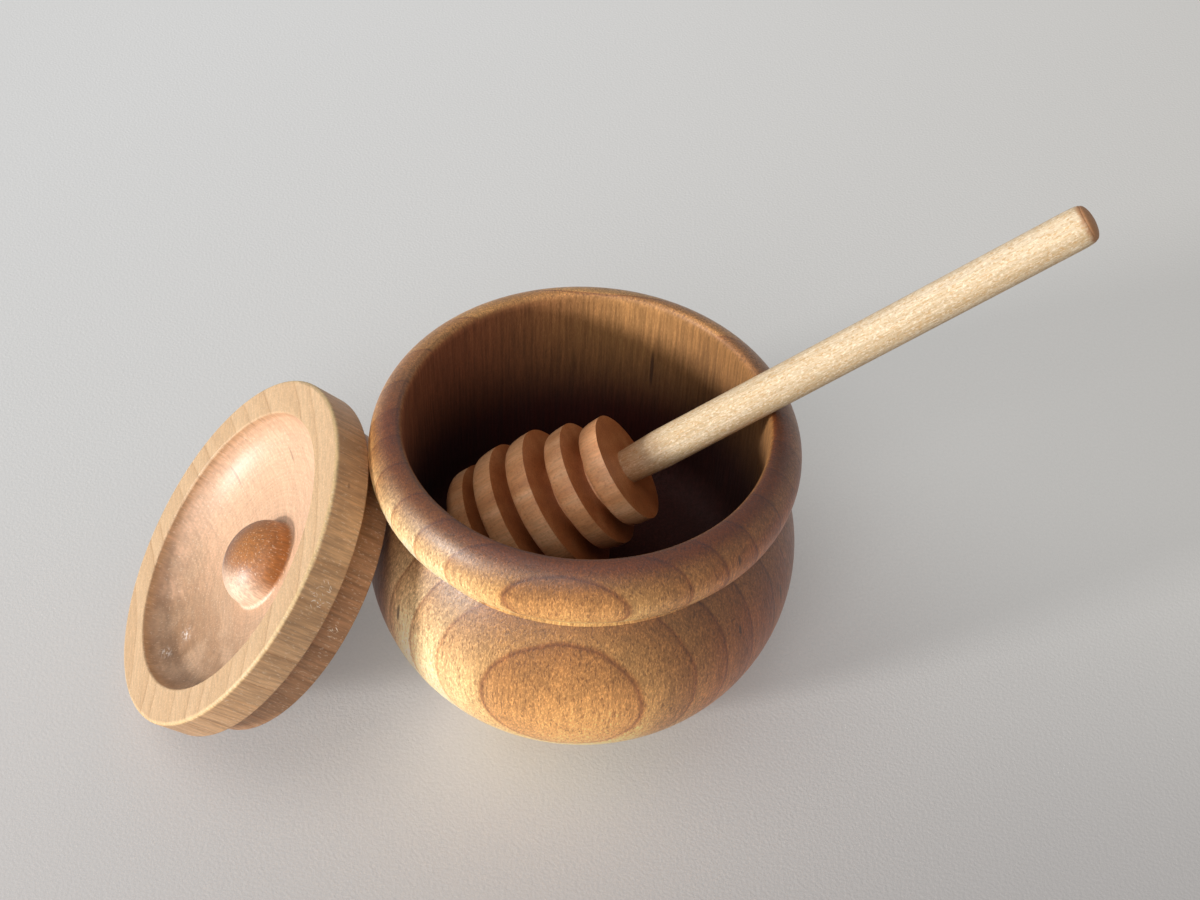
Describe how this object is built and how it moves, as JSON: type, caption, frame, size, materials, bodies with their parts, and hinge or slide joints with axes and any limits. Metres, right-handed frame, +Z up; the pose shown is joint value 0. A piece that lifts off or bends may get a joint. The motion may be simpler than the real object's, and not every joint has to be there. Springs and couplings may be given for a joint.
{
  "type": "wooden honey pot",
  "caption": "Turned wooden honey pot with a bulging rim ring, its knobbed lid leaning against the side, and a grooved dipper resting inside.",
  "frame": {"origin": "centre of the pot's flat foot, on the surface it stands on", "axes": "+Z up along the pot's turning axis; +X to the right, the way the dipper's handle points; the lid leans against the -X side; the picture's view is from -Y and above"},
  "size_m": [0.1916, 0.0937, 0.115],
  "materials": {
    "pot_wood": "satin oiled medium-brown wood with growth rings and fine flecks",
    "lid_wood": "pale bare wood, faint arcs, glossier brown dish and knob",
    "head_wood": "warm tan satin wood",
    "handle_wood": "pale cream bare wood with fine specks"
  },
  "bodies": {
    "root": {"pot": "pot_wood", "lid": "lid_wood", "dipper_head": "head_wood", "dipper_handle": "handle_wood"}
  },
  "joints": []
}
